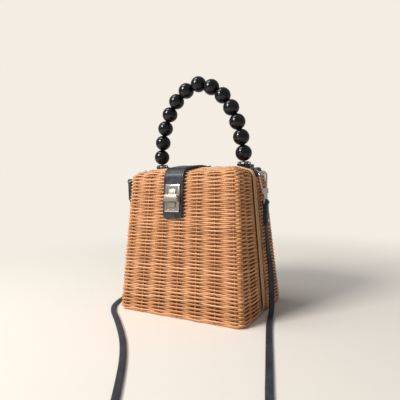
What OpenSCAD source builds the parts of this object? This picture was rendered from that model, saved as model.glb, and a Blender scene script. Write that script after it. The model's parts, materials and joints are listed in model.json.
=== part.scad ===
// Wicker box bag: two woven halves that meet in a seam and hinge at the bottom,
// a bead handle, a leather flap with a turn lock and a clip-on shoulder strap.
// Millimetres, +Z up, front towards -Y, origin on the floor under the middle.

/* [Bag] */
// Height of the seam ridge above the floor
bag_height = 158; // [150:1:168]
// Width across the base
base_width = 156; // [150:1:166]
// Depth from front to back at the base
base_depth = 112; // [108:1:120]
// Width where the shoulder begins
top_width = 138; // [134:1:144]
// Depth where the shoulder begins
top_depth = 76; // [74:1:84]
// Radius of the rounded shoulder
shoulder = 9; // [8.5:0.5:10]
// Thickness of the woven wall
wall = 3; // [2.6:0.2:3.6]

/* [Weave] */
// Height of one woven strand
strand_pitch = 1.85; // [1.8:0.05:2.6]
// How far a strand stands out where it passes over a stake
relief = 0.5; // [0.2:0.05:0.6]
// How far a strand sinks where it passes behind a stake
sink = 1.2; // [0.6:0.1:1.4]
// How far the rim stands out from the weave
rim_lip = 0.6; // [0.4:0.1:1]

/* [Handle] */
// Diameter of one bead
bead_diameter = 18; // [17:0.5:18.5]
// Diameter of the hole through a bead
bead_bore = 4.4; // [3.8:0.2:5]
// Diameter of the cord through the beads
cord_diameter = 2.6; // [2:0.1:2.8]
// Width of a leather handle tab
handle_tab_width = 12; // [11:0.5:13]

/* [Flap and lock] */
// Width of the leather flap
flap_width = 24; // [22:0.5:25]
// Thickness of the flap leather
flap_leather = 1.8; // [1.4:0.1:2]
// Length of the flap down the front, from the shoulder
flap_drop = 42; // [40:0.5:46]
// Sideways place of the flap
flap_x = -7; // [-9:0.5:4]
// Width of the lock plate
plate_width = 19; // [18:0.5:20]
// Height of the lock plate
plate_height = 30; // [28:0.5:32]
// Length of the toggle bar
toggle_length = 19; // [16:0.5:20]
// Height of the toggle bar
toggle_height = 7.2; // [6:0.2:8]

/* [Hooks and strap] */
// Diameter of the hook wire
hook_wire = 2.2; // [1.8:0.1:2.4]
// Width of the strap
strap_width = 6; // [5.5:0.5:7]
// Thickness of the strap
strap_leather = 2; // [1.6:0.1:2.2]
// Length of a folded strap end
strap_end_length = 24; // [20:1:26]

/* [Hidden] */
$fn = 48;
body_gap = 0.3;
seam_y = 3.3;
rim_back = body_gap;
zs = bag_height - shoulder - 3;
w_base = base_width / 2;
w_top = top_width / 2;
d_base = base_depth / 2 - seam_y;
d_top = top_depth / 2 - seam_y;
foot = 4;
recess = 1.5;
strip_half = 9;
strip_reach = w_base - 18;
lean = atan((base_depth - top_depth) / 2 / (zs - foot));
side_lean = atan((w_base - w_top) / (zs - foot));

// One half's outline seen from above, scaled to 1 wide and 1 deep: stakes from rim to rim
quarter = [[1, 0], [1, 0.4], [0.995, 0.8], [0.966, 0.954], [0.88, 1], [0.587, 1], [0.293, 1]];
turn = [0, 0, 6, 45, 84, 90, 90];
cols = 2 * len(quarter) + 1;
function plan(c) = c < 7 ? [-quarter[c][0], quarter[c][1]]
    : c == 7 ? [0, 1] : [quarter[14 - c][0], quarter[14 - c][1]];
function facing(c) = c < 7 ? [-cos(turn[c]), -sin(turn[c])]
    : c == 7 ? [0, -1] : [cos(turn[14 - c]), -sin(turn[14 - c])];

// Levels up one half: half width, depth from the seam plane, height, tilt of the surface, woven or plain
n_wall = floor((zs - foot) / strand_pitch);
n_arc = 7;
n_top = floor((d_top - shoulder) / strand_pitch);
under = [
    [w_base - 40, 0, recess, -90, 0],
    [w_base - 12, strip_half + 0.6 - seam_y, recess, -90, 0],
    [w_base - 11, strip_half + 1.6 - seam_y, 0, -90, 0],
    [w_base - 4, d_base - 4, 0, -90, 0],
    [w_base - 1.2, d_base - 1.2, 1.2, -45, 0]
];
climb = [for (k = [0 : n_wall]) let (t = k / n_wall)
    [w_base + (w_top - w_base) * t, d_base + (d_top - d_base) * t, foot + (zs - foot) * t, 0, 1]];
bend = [for (k = [1 : n_arc]) let (a = 90 * k / n_arc)
    [w_top - shoulder * (1 - cos(a)), d_top - shoulder * (1 - cos(a)), zs + shoulder * sin(a), a, 1]];
roof = [for (k = [1 : n_top]) let (t = k / n_top)
    [w_top - shoulder - 14 * t, (d_top - shoulder) * (1 - t), zs + shoulder + 3 * sin(90 * t), 90,
        k == n_top ? 0 : 1]];
levels = concat(under, climb, bend, roof);
n_lev = len(levels);
first_wall = len(under);
last_wall = first_wall + n_wall;
function over(k, c) = c == 0 || c == cols - 1 ? 0 : ((k + c) % 2 == 0 ? relief : -sink);
function skin(k, c) = let (l = levels[k], p = plan(c), f = facing(c), s = l[4] * over(k, c))
    [l[0] * p[0] + s * cos(l[3]) * f[0], -seam_y - l[1] * p[1] + s * cos(l[3]) * f[1], l[2] + s * sin(l[3])];

// Smooth inside of the half
lining = [
    [w_base - 40 - wall, 0, recess + wall],
    [w_base - wall - 4, d_base - wall - 4, recess + wall],
    [w_base - wall - 0.8, d_base - wall - 0.8, recess + wall + 4],
    [(w_base + w_top) / 2 - wall, (d_base + d_top) / 2 - wall, (foot + zs) / 2],
    [w_top - wall, d_top - wall, zs],
    [w_top - shoulder * 0.3 - wall, d_top - shoulder * 0.3 - wall, zs + shoulder * 0.7 - wall * 0.7],
    [w_top - shoulder - wall * 0.6, d_top - shoulder, zs + shoulder - wall],
    [w_top - shoulder - 14 - wall, 0, bag_height - wall]
];
joins = [0, 3, first_wall + 1, first_wall + floor(n_wall / 2), last_wall, last_wall + 4, last_wall + n_arc, n_lev - 1];
n_in = len(lining);
function inside(i, c) = [lining[i][0] * plan(c)[0], -seam_y - lining[i][1] * plan(c)[1], lining[i][2]];
half_points = concat(
    [for (k = [0 : n_lev - 1]) for (c = [0 : cols - 1]) skin(k, c)],
    [for (i = [0 : n_in - 1]) for (c = [0 : cols - 1]) inside(i, c)]);
function so(k, c) = k * cols + c;
function si(i, c) = (n_lev + i) * cols + c;
function middle(i) = floor((joins[i] + joins[i + 1]) / 2);
half_faces = concat(
    [for (k = [0 : n_lev - 2]) for (c = [0 : cols - 2]) [so(k, c), so(k + 1, c), so(k + (c < 7 ? 1 : 0), c + 1)]],
    [for (k = [0 : n_lev - 2]) for (c = [0 : cols - 2]) [so(k + (c < 7 ? 0 : 1), c), so(k + 1, c + 1), so(k, c + 1)]],
    [for (i = [0 : n_in - 2]) for (c = [0 : cols - 2]) [si(i, c), si(i + (c < 7 ? 1 : 0), c + 1), si(i + 1, c)]],
    [for (i = [0 : n_in - 2]) for (c = [0 : cols - 2]) [si(i + (c < 7 ? 0 : 1), c), si(i, c + 1), si(i + 1, c + 1)]],
    [for (c = [0 : cols - 2]) [so(0, c), so(0, c + 1), si(0, c + 1)]],
    [for (c = [0 : cols - 2]) [so(0, c), si(0, c + 1), si(0, c)]],
    [for (c = [0 : cols - 2]) [so(n_lev - 1, c + 1), so(n_lev - 1, c), si(n_in - 1, c)]],
    [for (c = [0 : cols - 2]) [so(n_lev - 1, c + 1), si(n_in - 1, c), si(n_in - 1, c + 1)]],
    [for (i = [0 : n_in - 2]) [si(i, 0), si(i + 1, 0), so(middle(i), 0)]],
    [for (i = [0 : n_in - 2]) for (k = [joins[i] : joins[i + 1] - 1])
        [si(k < middle(i) ? i : i + 1, 0), so(k + 1, 0), so(k, 0)]],
    [for (i = [0 : n_in - 2]) [si(i + 1, cols - 1), si(i, cols - 1), so(middle(i), cols - 1)]],
    [for (i = [0 : n_in - 2]) for (k = [joins[i] : joins[i + 1] - 1])
        [si(k < middle(i) ? i : i + 1, cols - 1), so(k, cols - 1), so(k + 1, cols - 1)]]);

// Rim outline in the seam plane
rim_out = [for (k = [1 : n_lev - 1]) let (l = levels[k])
    [l[0] + (k >= first_wall ? rim_lip * cos(l[3]) : 0), l[2] + (k >= first_wall ? rim_lip * sin(l[3]) : 0)]];
rim_in = [for (i = [0 : n_in - 1]) [lining[i][0] - (i == 0 || i == n_in - 1 ? 0 : 0.4), lining[i][2]]];
function flip(v) = [for (i = [len(v) - 1 : -1 : 0]) [-v[i][0], v[i][1]]];

// Handle
links = [8, 14, 23.5, 35, 52, 72, 108, 128, 145, 156.5, 166, 172];
n_beads = len(links) + 1;
bore_r = bead_bore / 2;
bead_step = 2 * sqrt(bead_diameter * bead_diameter / 4 - bore_r * bore_r) + 0.06;
function run(n, f) = n <= 0 ? 0 : run(n - 1, f) + (f == 0 ? sin(links[n - 1]) : cos(links[n - 1]));
handle_span = bead_step * run(len(links), 0);
handle_y = 7;
tab_top = zs + shoulder + 4;
tab_sink = 3.2;
tab_rivet_y = 12;
pin_r = 1.2;
pin_z = tab_top + pin_r + 0.25;
eye_r = 2.8;
bead_low = sqrt(bead_diameter * bead_diameter / 4 - bore_r * bore_r);
first_bead_z = pin_z + eye_r + 0.4 + bead_low;
function bead_at(i) = [-handle_span / 2 + bead_step * run(i, 0), handle_y, first_bead_z + bead_step * run(i, 1)];
function before(i) = i == 0 ? 0 : links[i - 1];
function after(i) = i == n_beads - 1 ? 180 : links[i];
function bead_name(i) = str("bead_", i < 9 ? "0" : "", i + 1);

// Flap and lock, on a plane lying on the front wall
lock_z = zs - 20.5;
face_y = seam_y + d_base + (d_top - d_base) * (lock_z - foot) / (zs - foot);
flap_off = relief + 0.5;
flap_face = flap_off + flap_leather;
plate_thick = 1.5;
boss_top = flap_face + plate_thick + 0.6;
flap_top = bag_height + rim_lip + 0.5;
tip_round = 4.5;
roof_y = seam_y + d_top - shoulder;
flap_end_y = roof_y + 4;

// Snap hooks: bow at the top, collar and eye below
hook_r = hook_wire / 2;
bow_r = 4.3;
gate_z = -16;
gate_x = -2.4;
eye_bar_z = -29;
ring_reach = 7.4;
ring_bar = 1.1;
ring_at = [w_top - shoulder + (shoulder + 3.1) * cos(40), 9, zs + (shoulder + 3.1) * sin(40)];
ring_tilt = [85, 50];
hook_tilt = [72, 5];
hook_yaw = [0, 45];
bow_drop = bow_r - hook_r - ring_bar - 0.2;
function far_bar(s) = [ring_at[0] + ring_reach * sin(ring_tilt[s]), ring_at[1], ring_at[2] - ring_reach * cos(ring_tilt[s])];
function along_hook(s, t) = far_bar(s) + t * [sin(hook_tilt[s]), 0, -cos(hook_tilt[s])];
function eye_at(s) = along_hook(s, bow_drop - eye_bar_z);
end_top = 3.4;

// Route of the strap: x, y, z and the direction of its width seen from above
left_end = [-eye_at(0)[0], eye_at(0)[1], eye_at(0)[2]];
right_end = eye_at(1);
route = [
    [left_end[0], 9, left_end[2] - 9, 90], [left_end[0], 9, left_end[2] - 24, 90],
    [-103, 9, 100, 80], [-104, 9, 76, 60], [-104.5, 9, 54, 35], [-105, 8, 34, 12],
    [-103.5, 5, 16, 2], [-101, -6, 4.2, 2], [-98, -21, 1.3, 5], [-93.5, -38, 1.1, 18],
    [-86, -54, 1.1, 36], [-73.5, -69, 1.1, 44], [-54, -86, 1.1, 46], [-30, -108, 1.1, 44],
    [-8, -130, 1.1, 42], [14, -156, 1.1, 38], [34, -183, 1.1, 34], [54, -212, 1.1, 32],
    [72, -242, 1.1, 31], [91, -273, 1.1, 36], [112, -298, 1.1, 62], [140, -310, 1.1, 96],
    [167, -299, 1.1, 140], [179, -272, 1.1, 176], [176, -242, 1.1, 196], [164, -212, 1.1, 204],
    [150, -182, 1.1, 205], [138, -152, 1.1, 202], [127, -122, 1.1, 200], [116, -92, 1.1, 200],
    [105, -62, 1.1, 199], [95, -34, 1.3, 197], [89, -13, 1.9, 194], [86, -1, 9, 196],
    [84.5, 4, 26, 212], [83, 6, 46, 232], [80, 8, 68, 254],
    [right_end[0], 9, right_end[2] - 24, 270], [right_end[0], 9, right_end[2] - 9, 270]
];
function blend4(a, b, c, d, t) = 0.5 * ((2 * b) + (c - a) * t + (2 * a - 5 * b + 4 * c - d) * t * t
    + (3 * b - a - 3 * c + d) * t * t * t);
n_route = len(route);
path = concat([for (i = [0 : n_route - 2]) for (t = [0, 0.5])
    blend4(route[max(0, i - 1)], route[i], route[i + 1], route[min(n_route - 1, i + 2)], t)], [route[n_route - 1]]);
n_path = len(path);
section = [[0.5, 0], [0.46, 0.44], [0, 0.5], [-0.46, 0.44], [-0.5, 0], [-0.46, -0.44], [0, -0.5], [0.46, -0.44]];
function p3(i) = [path[i][0], path[i][1], path[i][2]];
function heading(i) = let (a = p3(max(0, i - 1)), b = p3(min(n_path - 1, i + 1))) (b - a) / norm(b - a);
function across(i) = [cos(path[i][3]), sin(path[i][3]), 0];
function squared(i) = let (w = across(i), h = heading(i), v = w - h * (w * h)) v / norm(v);
function ring_points(i) = let (w = squared(i), n = cross(heading(i), squared(i)))
    [for (s = section) p3(i) + w * s[0] * strap_width + n * s[1] * strap_leather];

module half() {
    polyhedron(points = half_points, faces = half_faces, convexity = 10);
}

module rim() {
    translate([0, -rim_back, 0])
        rotate([90, 0, 0])
            linear_extrude(height = seam_y - rim_back)
                difference() {
                    polygon(concat(rim_out, flip(rim_out)));
                    polygon(concat(rim_in, flip(rim_in)));
                }
}

module front_basket() {
    color([0.72, 0.48, 0.27]) half();
}

module back_basket() {
    color([0.72, 0.48, 0.27]) mirror([0, 1, 0]) half();
}

module front_rim() {
    color([0.80, 0.58, 0.36]) rim();
}

module back_rim() {
    color([0.80, 0.58, 0.36]) mirror([0, 1, 0]) rim();
}

module hinge_strip() {
    color([0.07, 0.07, 0.08])
        translate([-strip_reach, -strip_half, 0.3])
            cube([2 * strip_reach, 2 * strip_half, recess - 0.3]);
}

module on_face() {
    translate([flap_x, -face_y, lock_z])
        rotate([-lean, 0, 0])
            children();
}

// Side view of the flap from its back end to the shoulder: y and z of its underside
flap_line = concat(
    [[flap_end_y, zs + shoulder + relief + 0.1]],
    [[0.69 * roof_y, zs + shoulder + 2.2 + relief]],
    [[0.28 * roof_y, bag_height + relief + 0.3], [0, flap_top]],
    [[-0.41 * roof_y, flap_top - 0.6], [-0.83 * roof_y, flap_top - 1.7]],
    [for (a = [0 : 15 : 90 - 15])
        [-(seam_y + d_top - shoulder) - (shoulder + flap_off) * sin(a), zs + (shoulder + flap_off) * cos(a) + 0.6]]);
function lift(v, i) = let (a = v[max(0, i - 1)], b = v[min(len(v) - 1, i + 1)], h = (b - a) / norm(b - a))
    v[i] + flap_leather * [h[1], -h[0]];
flap_low = -(flap_drop - (zs - lock_z));
face_top = zs - lock_z;
drop_top = [-face_y + face_top * sin(lean) - flap_off * cos(lean), lock_z + face_top * cos(lean) + flap_off * sin(lean)];
drop_end = [-face_y + flap_low * sin(lean) - flap_off * cos(lean), lock_z + flap_low * cos(lean) + flap_off * sin(lean)];
flap_path = concat(flap_line, [drop_top, drop_end]);

module flap() {
    color([0.07, 0.07, 0.08])
        difference() {
            intersection() {
                translate([flap_x - flap_width / 2, 0, 0])
                    rotate([90, 0, 90])
                        linear_extrude(height = flap_width)
                            polygon(concat(flap_path,
                                [for (i = [len(flap_path) - 1 : -1 : 0]) lift(flap_path, i)]));
                flap_outline();
            }
            on_face() translate([-4.8, -10, -10.3]) cube([9.6, 12, 20.6]);
            flap_rivet_holes();
        }
}

module flap_outline() {
    translate([flap_x, 60, 0])
        rotate([90, 0, 0])
            linear_extrude(height = 140)
                union() {
                    translate([-flap_width / 2 - 1, drop_end[1] + tip_round]) square([flap_width + 2, 100]);
                    translate([tip_round - flap_width / 2, drop_end[1] - 1])
                        square([flap_width - 2 * tip_round, tip_round + 2]);
                    for (x = [-1, 1])
                        translate([x * (flap_width / 2 - tip_round), drop_end[1] + tip_round]) circle(r = tip_round);
                }
}

module flap_rivet_holes() {
    for (x = [-6, 6])
        translate([flap_x + x, flap_end_y - 5, 100]) cylinder(r = 1.5, h = 100);
}

module flap_rivets() {
    color([0.80, 0.76, 0.68])
        for (x = [-6, 6])
            translate([flap_x + x, flap_end_y - 5, 0]) {
                translate([0, 0, zs + shoulder - 4]) cylinder(r = 1.5, h = 9);
                translate([0, 0, zs + shoulder + 4]) cylinder(r = 3, h = 1.6);
                translate([0, 0, zs + shoulder - 5.2]) cylinder(r = 3.4, h = 1.2);
            }
}

module lock_plate() {
    color([0.80, 0.76, 0.68])
        on_face()
            difference() {
                translate([-plate_width / 2, -flap_face - plate_thick, -plate_height / 2])
                    cube([plate_width, plate_thick, plate_height]);
                translate([-4.8, -20, -10.3]) cube([9.6, 40, 20.6]);
                translate([-6.2, -flap_face - plate_thick - 1, -11.7]) cube([12.4, 1.5, 23.4]);
                for (z = [-1, 1])
                    translate([0, 0, z * (plate_height / 2 - 1.9)])
                        rotate([90, 0, 0]) cylinder(r = 0.8, h = 40, center = true);
            }
}

module lock_base() {
    color([0.78, 0.74, 0.66])
        on_face()
            difference() {
                union() {
                    translate([-4.2, -boss_top, -9.7]) cube([8.4, boss_top + 1.4, 19.4]);
                    translate([-6.5, wall - 0.2, -11.5]) cube([13, 1.2, 23]);
                    for (z = [-7, 7])
                        translate([0, wall + 0.2, z]) rotate([90, 0, 0]) cylinder(r = 1.2, h = wall + 1);
                }
                translate([0, 1, 0]) rotate([90, 0, 0]) cylinder(r = 2.06, h = 30);
            }
}

module lock_toggle() {
    color([0.82, 0.78, 0.70])
        on_face() {
            translate([0, -flap_off, 0]) rotate([90, 0, 0]) cylinder(r = 2, h = boss_top + 0.4);
            translate([-toggle_length / 2, -boss_top - 3.1, -toggle_height / 2])
                difference() {
                    cube([toggle_length, 2.7, toggle_height]);
                    for (x = [-1, 1])
                        translate([toggle_length / 2 + x * (toggle_length / 2 + 0.6), -1.2, -1])
                            rotate([0, 0, x * 30]) translate([-1.2, 0, 0]) cube([2.4, 2.4, toggle_height + 2]);
                }
        }
}

module bead(i) {
    color([0.03, 0.03, 0.035])
        translate(bead_at(i))
            difference() {
                rotate([90, (before(i) + after(i)) / 2, 0]) sphere(d = bead_diameter);
                rotate([90, (before(i) + after(i)) / 2, 0]) sphere(r = bore_r + 0.5);
                rotate([0, before(i) + 180, 0]) cylinder(r = bore_r, h = bead_diameter);
                rotate([0, after(i), 0]) cylinder(r = bore_r, h = bead_diameter);
            }
}

cord_line = [for (i = [0 : n_beads - 1]) bead_at(i)];
function cord_turn(i) = (before(i) + (i == n_beads - 1 ? 180 : links[i])) / 2;
cord_points = [for (i = [0 : n_beads - 1]) for (a = [0 : 45 : 315])
    cord_line[i] + cord_diameter / 2
        * [cos(a) * cos(cord_turn(i)), sin(a), -cos(a) * sin(cord_turn(i))]];
cord_faces = concat(
    [[for (a = [7 : -1 : 0]) a]],
    [[for (a = [0 : 7]) (n_beads - 1) * 8 + a]],
    [for (i = [0 : n_beads - 2]) for (a = [0 : 7]) [i * 8 + a, i * 8 + (a + 1) % 8, (i + 1) * 8 + (a + 1) % 8]],
    [for (i = [0 : n_beads - 2]) for (a = [0 : 7]) [i * 8 + a, (i + 1) * 8 + (a + 1) % 8, (i + 1) * 8 + a]]);

module handle_cord() {
    color([0.10, 0.09, 0.09]) polyhedron(points = cord_points, faces = cord_faces, convexity = 8);
}

module at_handle(s) {
    translate([s * handle_span / 2, handle_y, pin_z]) children();
}

module handle_eye(s) {
    color([0.80, 0.76, 0.68])
        at_handle(s)
            difference() {
                union() {
                    rotate([0, 90, 0]) cylinder(r = eye_r, h = 3, center = true);
                    cylinder(r = cord_diameter / 2 + 0.1, h = first_bead_z - pin_z - 1);
                }
                rotate([0, 90, 0]) cylinder(r = pin_r + 0.06, h = 10, center = true);
            }
}

module left_handle_eye() {
    handle_eye(-1);
}

module right_handle_eye() {
    handle_eye(1);
}

module handle_pin(s) {
    color([0.80, 0.76, 0.68])
        at_handle(s) {
            rotate([0, 90, 0]) cylinder(r = pin_r, h = handle_tab_width + 1.2, center = true);
            for (x = [-1, 1])
                translate([x * (handle_tab_width / 2 + 0.9), 0, 0])
                    rotate([0, 90, 0]) cylinder(r = 2, h = 1.2, center = true);
        }
}

module left_handle_pin() {
    handle_pin(-1);
}

module right_handle_pin() {
    handle_pin(1);
}

module handle_tab(s) {
    color([0.07, 0.07, 0.08])
        at_handle(s)
            difference() {
                union() {
                    rotate([0, 90, 0]) cylinder(r = pin_r + 1.5, h = handle_tab_width, center = true);
                    translate([-handle_tab_width / 2, -2, tab_top - pin_z - tab_sink])
                        cube([handle_tab_width, 16.5, tab_sink + 0.9]);
                }
                rotate([0, 90, 0]) cylinder(r = pin_r, h = 40, center = true);
                translate([-2, -8, tab_top - pin_z + 0.3 - eye_r / 2 - 0.6]) cube([4, 13, 20]);
                translate([0, tab_rivet_y, -10]) cylinder(r = 1.2, h = 20);
            }
}

module left_handle_tab() {
    handle_tab(-1);
}

module right_handle_tab() {
    handle_tab(1);
}

module tab_rivets() {
    color([0.80, 0.76, 0.68])
        for (s = [-1, 1])
            at_handle(s)
                translate([0, tab_rivet_y, 0]) {
                    translate([0, 0, tab_top - pin_z - tab_sink - 4.6]) cylinder(r = 1.2, h = tab_sink + 6);
                    translate([0, 0, tab_top - pin_z + 0.9]) cylinder(r = 2.4, h = 0.6);
                    translate([0, 0, tab_top - pin_z - tab_sink - 5.6]) cylinder(r = 2.8, h = 1.2);
                }
}

module at_side(s) {
    mirror([s < 0 ? 1 : 0, 0, 0]) children();
}

module strap_tab(s) {
    color([0.07, 0.07, 0.08])
        at_side(s)
            difference() {
                union() {
                    translate([w_top - shoulder, ring_at[1] + 4, zs])
                        rotate([90, 0, 0])
                            linear_extrude(height = 8)
                                polygon(concat(
                                    [for (a = [4 : 9.5 : 80]) (shoulder - 0.6) * [cos(a), sin(a)]],
                                    [for (a = [80 : -9.5 : 4]) (shoulder + 1.9) * [cos(a), sin(a)]]));
                    translate(ring_at) rotate([90, 0, 0]) cylinder(r = ring_bar + 1.4, h = 8, center = true);
                }
                translate(ring_at) rotate([90, 0, 0]) cylinder(r = ring_bar, h = 30, center = true);
            }
}

module left_strap_tab() {
    strap_tab(-1);
}

module right_strap_tab() {
    strap_tab(1);
}

module strap_ring(s) {
    color([0.80, 0.76, 0.68])
        at_side(s)
            translate(ring_at)
                rotate([0, -ring_tilt[s < 0 ? 0 : 1], 0]) {
                    rotate([90, 0, 0]) cylinder(r = ring_bar, h = 14.6, center = true);
                    translate([0, 0, -ring_reach]) rotate([90, 0, 0]) cylinder(r = ring_bar, h = 14.6, center = true);
                    for (y = [-1, 1])
                        translate([0, y * 6.1, -ring_reach]) cylinder(r = ring_bar - 0.12, h = ring_reach);
                }
}

module left_strap_ring() {
    strap_ring(-1);
}

module right_strap_ring() {
    strap_ring(1);
}

module at_hook(s) {
    at_side(s)
        translate(along_hook(s < 0 ? 0 : 1, bow_drop))
            rotate([0, -hook_tilt[s < 0 ? 0 : 1], 0])
                rotate([0, 0, hook_yaw[s < 0 ? 0 : 1]])
                    children();
}

// A straight wire between two points of the hook's own plane
module wire(a, b, r) {
    v = b - a;
    translate([a[0], 0, a[1]])
        rotate([0, atan2(v[0], v[1]), 0])
            cylinder(r = r, h = norm(v));
}

module hook(s) {
    color([0.82, 0.81, 0.79])
        at_hook(s)
            difference() {
                union() {
                    rotate([90, 0, 0]) rotate_extrude(angle = 180) translate([bow_r, 0]) circle(r = hook_r);
                    wire([bow_r, 0.4], [2.4, -15], hook_r - 0.08);
                    translate([-3.6, -2.2, -19.4]) cube([7.2, 4.4, 5.6]);
                    translate([0, 0, -22.4]) cylinder(r = 2.9, h = 4);
                }
                translate([gate_x - 3, -1.2, gate_z - 2]) cube([4.9, 2.4, 10]);
                translate([gate_x, 0, gate_z]) rotate([90, 0, 0]) cylinder(r = 0.76, h = 10, center = true);
                translate([0, 0, -24]) cylinder(r = 1.16, h = 7);
            }
}

module left_hook() {
    hook(-1);
}

module right_hook() {
    hook(1);
}

module gate(s) {
    color([0.82, 0.81, 0.79])
        at_hook(s) {
            translate([gate_x, 0, gate_z]) rotate([90, 0, 0]) cylinder(r = 0.7, h = 4.4, center = true);
            translate([gate_x, 0, gate_z]) rotate([90, 0, 0]) cylinder(r = 1.5, h = 1.8, center = true);
            wire([gate_x, gate_z], [-bow_r, -0.4], 0.88);
        }
}

module left_gate() {
    gate(-1);
}

module right_gate() {
    gate(1);
}

// The eye turns in the collar to face the strap: its bar lies along Y
module hook_eye(s) {
    color([0.82, 0.81, 0.79])
        at_side(s)
            translate(along_hook(s < 0 ? 0 : 1, bow_drop))
                rotate([0, -hook_tilt[s < 0 ? 0 : 1], 0]) {
                    translate([0, 0, -24.5]) cylinder(r = 1.1, h = 5.5);
                    translate([0, 0, -24]) rotate([90, 0, 0]) cylinder(r = 1.25, h = strap_width + 4, center = true);
                    translate([0, 0, eye_bar_z])
                        rotate([90, 0, 0]) cylinder(r = 1.2, h = strap_width + 4, center = true);
                    for (y = [-1, 1])
                        translate([0, y * (strap_width / 2 + 1), eye_bar_z]) cylinder(r = 0.95, h = 5);
                }
}

module left_hook_eye() {
    hook_eye(-1);
}

module right_hook_eye() {
    hook_eye(1);
}

module strap_end(s) {
    color([0.08, 0.08, 0.09])
        at_side(s)
            translate(eye_at(s < 0 ? 0 : 1))
                difference() {
                    union() {
                        rotate([90, 0, 0]) cylinder(r = end_top, h = strap_width, center = true);
                        translate([-strap_leather / 2 - 1.4, -strap_width / 2, -strap_end_length])
                            cube([strap_leather + 2.8, strap_width, strap_end_length - 2]);
                    }
                    rotate([90, 0, 0]) cylinder(r = 1.26, h = 40, center = true);
                    translate([-strap_leather / 2 - 0.25, -20, -strap_end_length - 1])
                        cube([strap_leather + 0.5, 40, strap_end_length - 8]);
                    translate([0, 0, -strap_end_length + 5]) rotate([0, 90, 0]) cylinder(r = 1, h = 20, center = true);
                }
}

module left_strap_end() {
    strap_end(-1);
}

module right_strap_end() {
    strap_end(1);
}

module at_rivet(s) {
    at_side(s)
        translate(eye_at(s < 0 ? 0 : 1))
            translate([0, 0, -strap_end_length + 5])
                rotate([0, 90, 0])
                    children();
}

module strap_rivets() {
    color([0.80, 0.76, 0.68])
        for (s = [-1, 1])
            at_rivet(s) {
                cylinder(r = 1, h = strap_leather + 3.2, center = true);
                for (z = [-1, 1])
                    translate([0, 0, z * (strap_leather / 2 + 1.8)])
                        cylinder(r = 2, h = 0.8, center = true);
            }
}

module shoulder_strap() {
    color([0.06, 0.06, 0.07])
        difference() {
            polyhedron(
                points = [for (i = [0 : n_path - 1]) each ring_points(i)],
                faces = concat(
                    [[for (a = [7 : -1 : 0]) a]],
                    [[for (a = [0 : 7]) (n_path - 1) * 8 + a]],
                    [for (i = [0 : n_path - 2]) for (a = [0 : 7])
                        [i * 8 + a, i * 8 + (a + 1) % 8, (i + 1) * 8 + (a + 1) % 8]],
                    [for (i = [0 : n_path - 2]) for (a = [0 : 7])
                        [i * 8 + a, (i + 1) * 8 + (a + 1) % 8, (i + 1) * 8 + a]]),
                convexity = 20);
            for (s = [-1, 1])
                at_rivet(s) cylinder(r = 1, h = strap_leather + 6, center = true);
        }
}

back_basket();
front_basket();
back_rim();
front_rim();
hinge_strip();
flap();
flap_rivets();
lock_plate();
lock_base();
lock_toggle();
handle_cord();
left_handle_eye();
right_handle_eye();
left_handle_pin();
right_handle_pin();
left_handle_tab();
right_handle_tab();
tab_rivets();
left_strap_tab();
right_strap_tab();
left_strap_ring();
right_strap_ring();
left_hook();
right_hook();
left_gate();
right_gate();
left_hook_eye();
right_hook_eye();
left_strap_end();
right_strap_end();
strap_rivets();
shoulder_strap();
for (i = [0 : n_beads - 1])
    bead(i);
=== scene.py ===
# %% [markdown]
# # A woven box bag with a bead handle
# The CAD model carries every size of this bag. Blender adds what the eye and the hand meet: cane
# strands that really pass over and under their stakes, black leather, plated metal and glossy beads.
# Everything is in metres in the CAD model's own frame, so no piece needs fitting.

import json
import math

import bmesh
import bpy
import numpy as np
from mathutils import Matrix, Vector

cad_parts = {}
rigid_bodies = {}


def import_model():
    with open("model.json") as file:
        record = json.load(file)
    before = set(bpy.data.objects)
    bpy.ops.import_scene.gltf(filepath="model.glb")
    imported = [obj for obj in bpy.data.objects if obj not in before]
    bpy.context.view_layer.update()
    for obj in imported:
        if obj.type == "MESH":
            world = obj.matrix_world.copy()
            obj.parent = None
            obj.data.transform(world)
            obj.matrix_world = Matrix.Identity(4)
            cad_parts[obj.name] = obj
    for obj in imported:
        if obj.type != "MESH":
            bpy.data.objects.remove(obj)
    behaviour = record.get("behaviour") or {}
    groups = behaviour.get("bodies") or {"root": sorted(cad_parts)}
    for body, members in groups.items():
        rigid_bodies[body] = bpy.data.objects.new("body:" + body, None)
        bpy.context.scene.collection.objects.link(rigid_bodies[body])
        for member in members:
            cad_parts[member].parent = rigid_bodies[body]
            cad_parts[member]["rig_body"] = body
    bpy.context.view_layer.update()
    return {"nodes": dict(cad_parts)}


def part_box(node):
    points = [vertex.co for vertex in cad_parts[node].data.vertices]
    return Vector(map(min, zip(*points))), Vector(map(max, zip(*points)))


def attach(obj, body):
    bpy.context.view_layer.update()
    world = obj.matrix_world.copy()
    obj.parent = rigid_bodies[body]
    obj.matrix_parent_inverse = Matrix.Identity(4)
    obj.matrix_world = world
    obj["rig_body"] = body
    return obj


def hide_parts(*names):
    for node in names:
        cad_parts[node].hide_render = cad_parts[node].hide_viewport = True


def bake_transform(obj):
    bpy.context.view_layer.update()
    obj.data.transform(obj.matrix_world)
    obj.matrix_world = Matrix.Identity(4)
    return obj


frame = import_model()
MM = 0.001

# %% [markdown]
# ## Camera
# The photograph was taken from the bag's right-hand front corner, a little above its middle, and the
# picture is turned by a degree or two. A camera is easiest to place by its eye and the point that it
# looks at; the small turn is then a rotation about its own viewing axis.

# %% Camera
EYE = Vector((0.2301, -0.3977, 0.1500))
LOOK_AT = Vector((0.0016, 0.0, 0.1210))
ROLL = math.radians(-1.68)

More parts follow.
